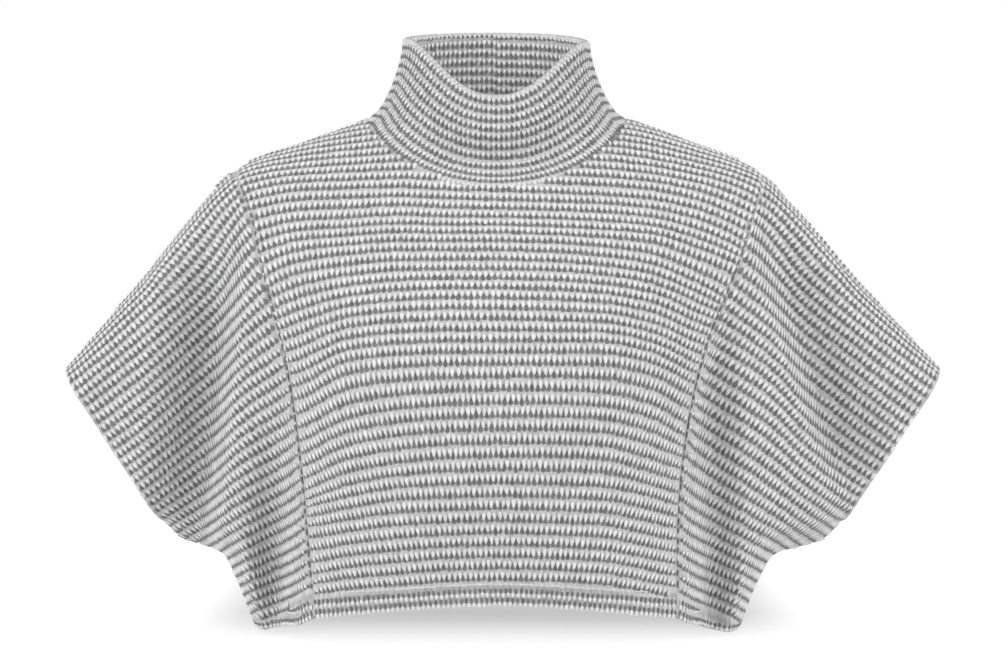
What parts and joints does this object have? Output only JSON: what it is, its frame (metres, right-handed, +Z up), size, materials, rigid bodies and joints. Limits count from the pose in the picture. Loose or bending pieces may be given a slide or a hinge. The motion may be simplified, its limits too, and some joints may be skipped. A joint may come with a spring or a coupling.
{
  "type": "knit shrug",
  "caption": "Cropped knit shrug cut as a short pullover cape, with a funnel collar, a straight hem and wide open sleeves cut in one with the sides, in a two-tone slip-stitch knit.",
  "frame": {"origin": "middle of the neck seam's ring, at the height where the collar meets the shoulders", "axes": "+X towards the wearer's left, along the sleeves; -Y towards the front; +Z up through the collar"},
  "size_m": [0.683, 0.2744, 0.4634],
  "materials": {
    "wool_knit": "matte, hairy slip-stitch knit in light grey, white and dark grey"
  },
  "bodies": {
    "root": {"collar": "wool_knit", "front_panel": "wool_knit", "back_panel": "wool_knit", "wing_right": "wool_knit", "wing_left": "wool_knit"}
  },
  "joints": []
}
